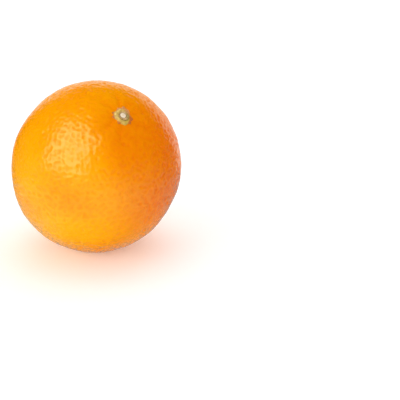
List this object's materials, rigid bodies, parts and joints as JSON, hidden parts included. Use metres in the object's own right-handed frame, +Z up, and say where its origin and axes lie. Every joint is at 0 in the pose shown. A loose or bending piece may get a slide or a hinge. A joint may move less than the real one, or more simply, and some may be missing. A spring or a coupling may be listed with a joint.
{
  "type": "orange",
  "caption": "Whole fresh sweet orange with its calyx and clipped stem, lying tilted on a small flat spot.",
  "frame": {"origin": "centre of the bounding box in X and Y, on the surface that the orange rests on", "axes": "+Z up, -Y the front, the stem leans towards the front and the right"},
  "size_m": [0.081, 0.0818, 0.0828],
  "materials": {
    "peel": "waxy orange peel with dimpled oil glands, soft sheen",
    "calyx_tissue": "dry yellow-green sepals with brown tips, matte",
    "stem_wood": "freshly clipped pale wood with a thin darker bark, matte"
  },
  "bodies": {
    "root": {"fruit": "peel", "calyx": "calyx_tissue", "stem_stub": "stem_wood"}
  },
  "joints": []
}
